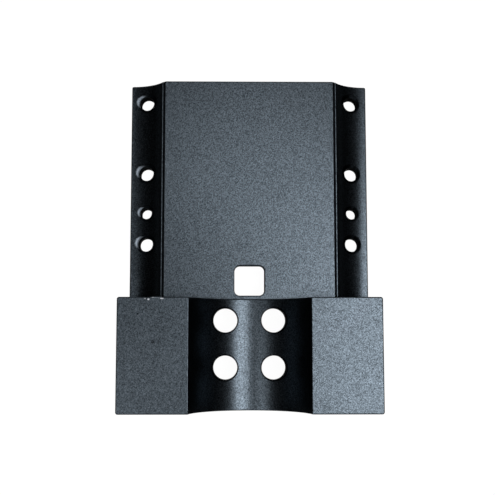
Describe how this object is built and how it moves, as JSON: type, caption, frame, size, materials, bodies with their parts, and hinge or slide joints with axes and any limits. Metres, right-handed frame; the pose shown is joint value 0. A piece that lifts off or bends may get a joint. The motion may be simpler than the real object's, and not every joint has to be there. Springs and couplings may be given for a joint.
{
  "type": "motor mounting bracket",
  "caption": "Milled bracket: a thick block with a half-round cradle between flat pads, running into a raised flat plate with a square window and coved side wings drilled with chamfered holes.",
  "frame": {"origin": "centre of the footprint, on the plane of the wings' back faces that the bracket lies on", "axes": "+X across the bracket, +Y along it from the cradle block towards the wings' free end, +Z out of the front, towards the open side of the cradle"},
  "size_m": [0.094, 0.1244, 0.033],
  "materials": {
    "anodised_aluminium": "bead-blasted and black anodised, satin"
  },
  "bodies": {
    "root": {"motor_mounting_bracket": "anodised_aluminium"}
  },
  "joints": []
}
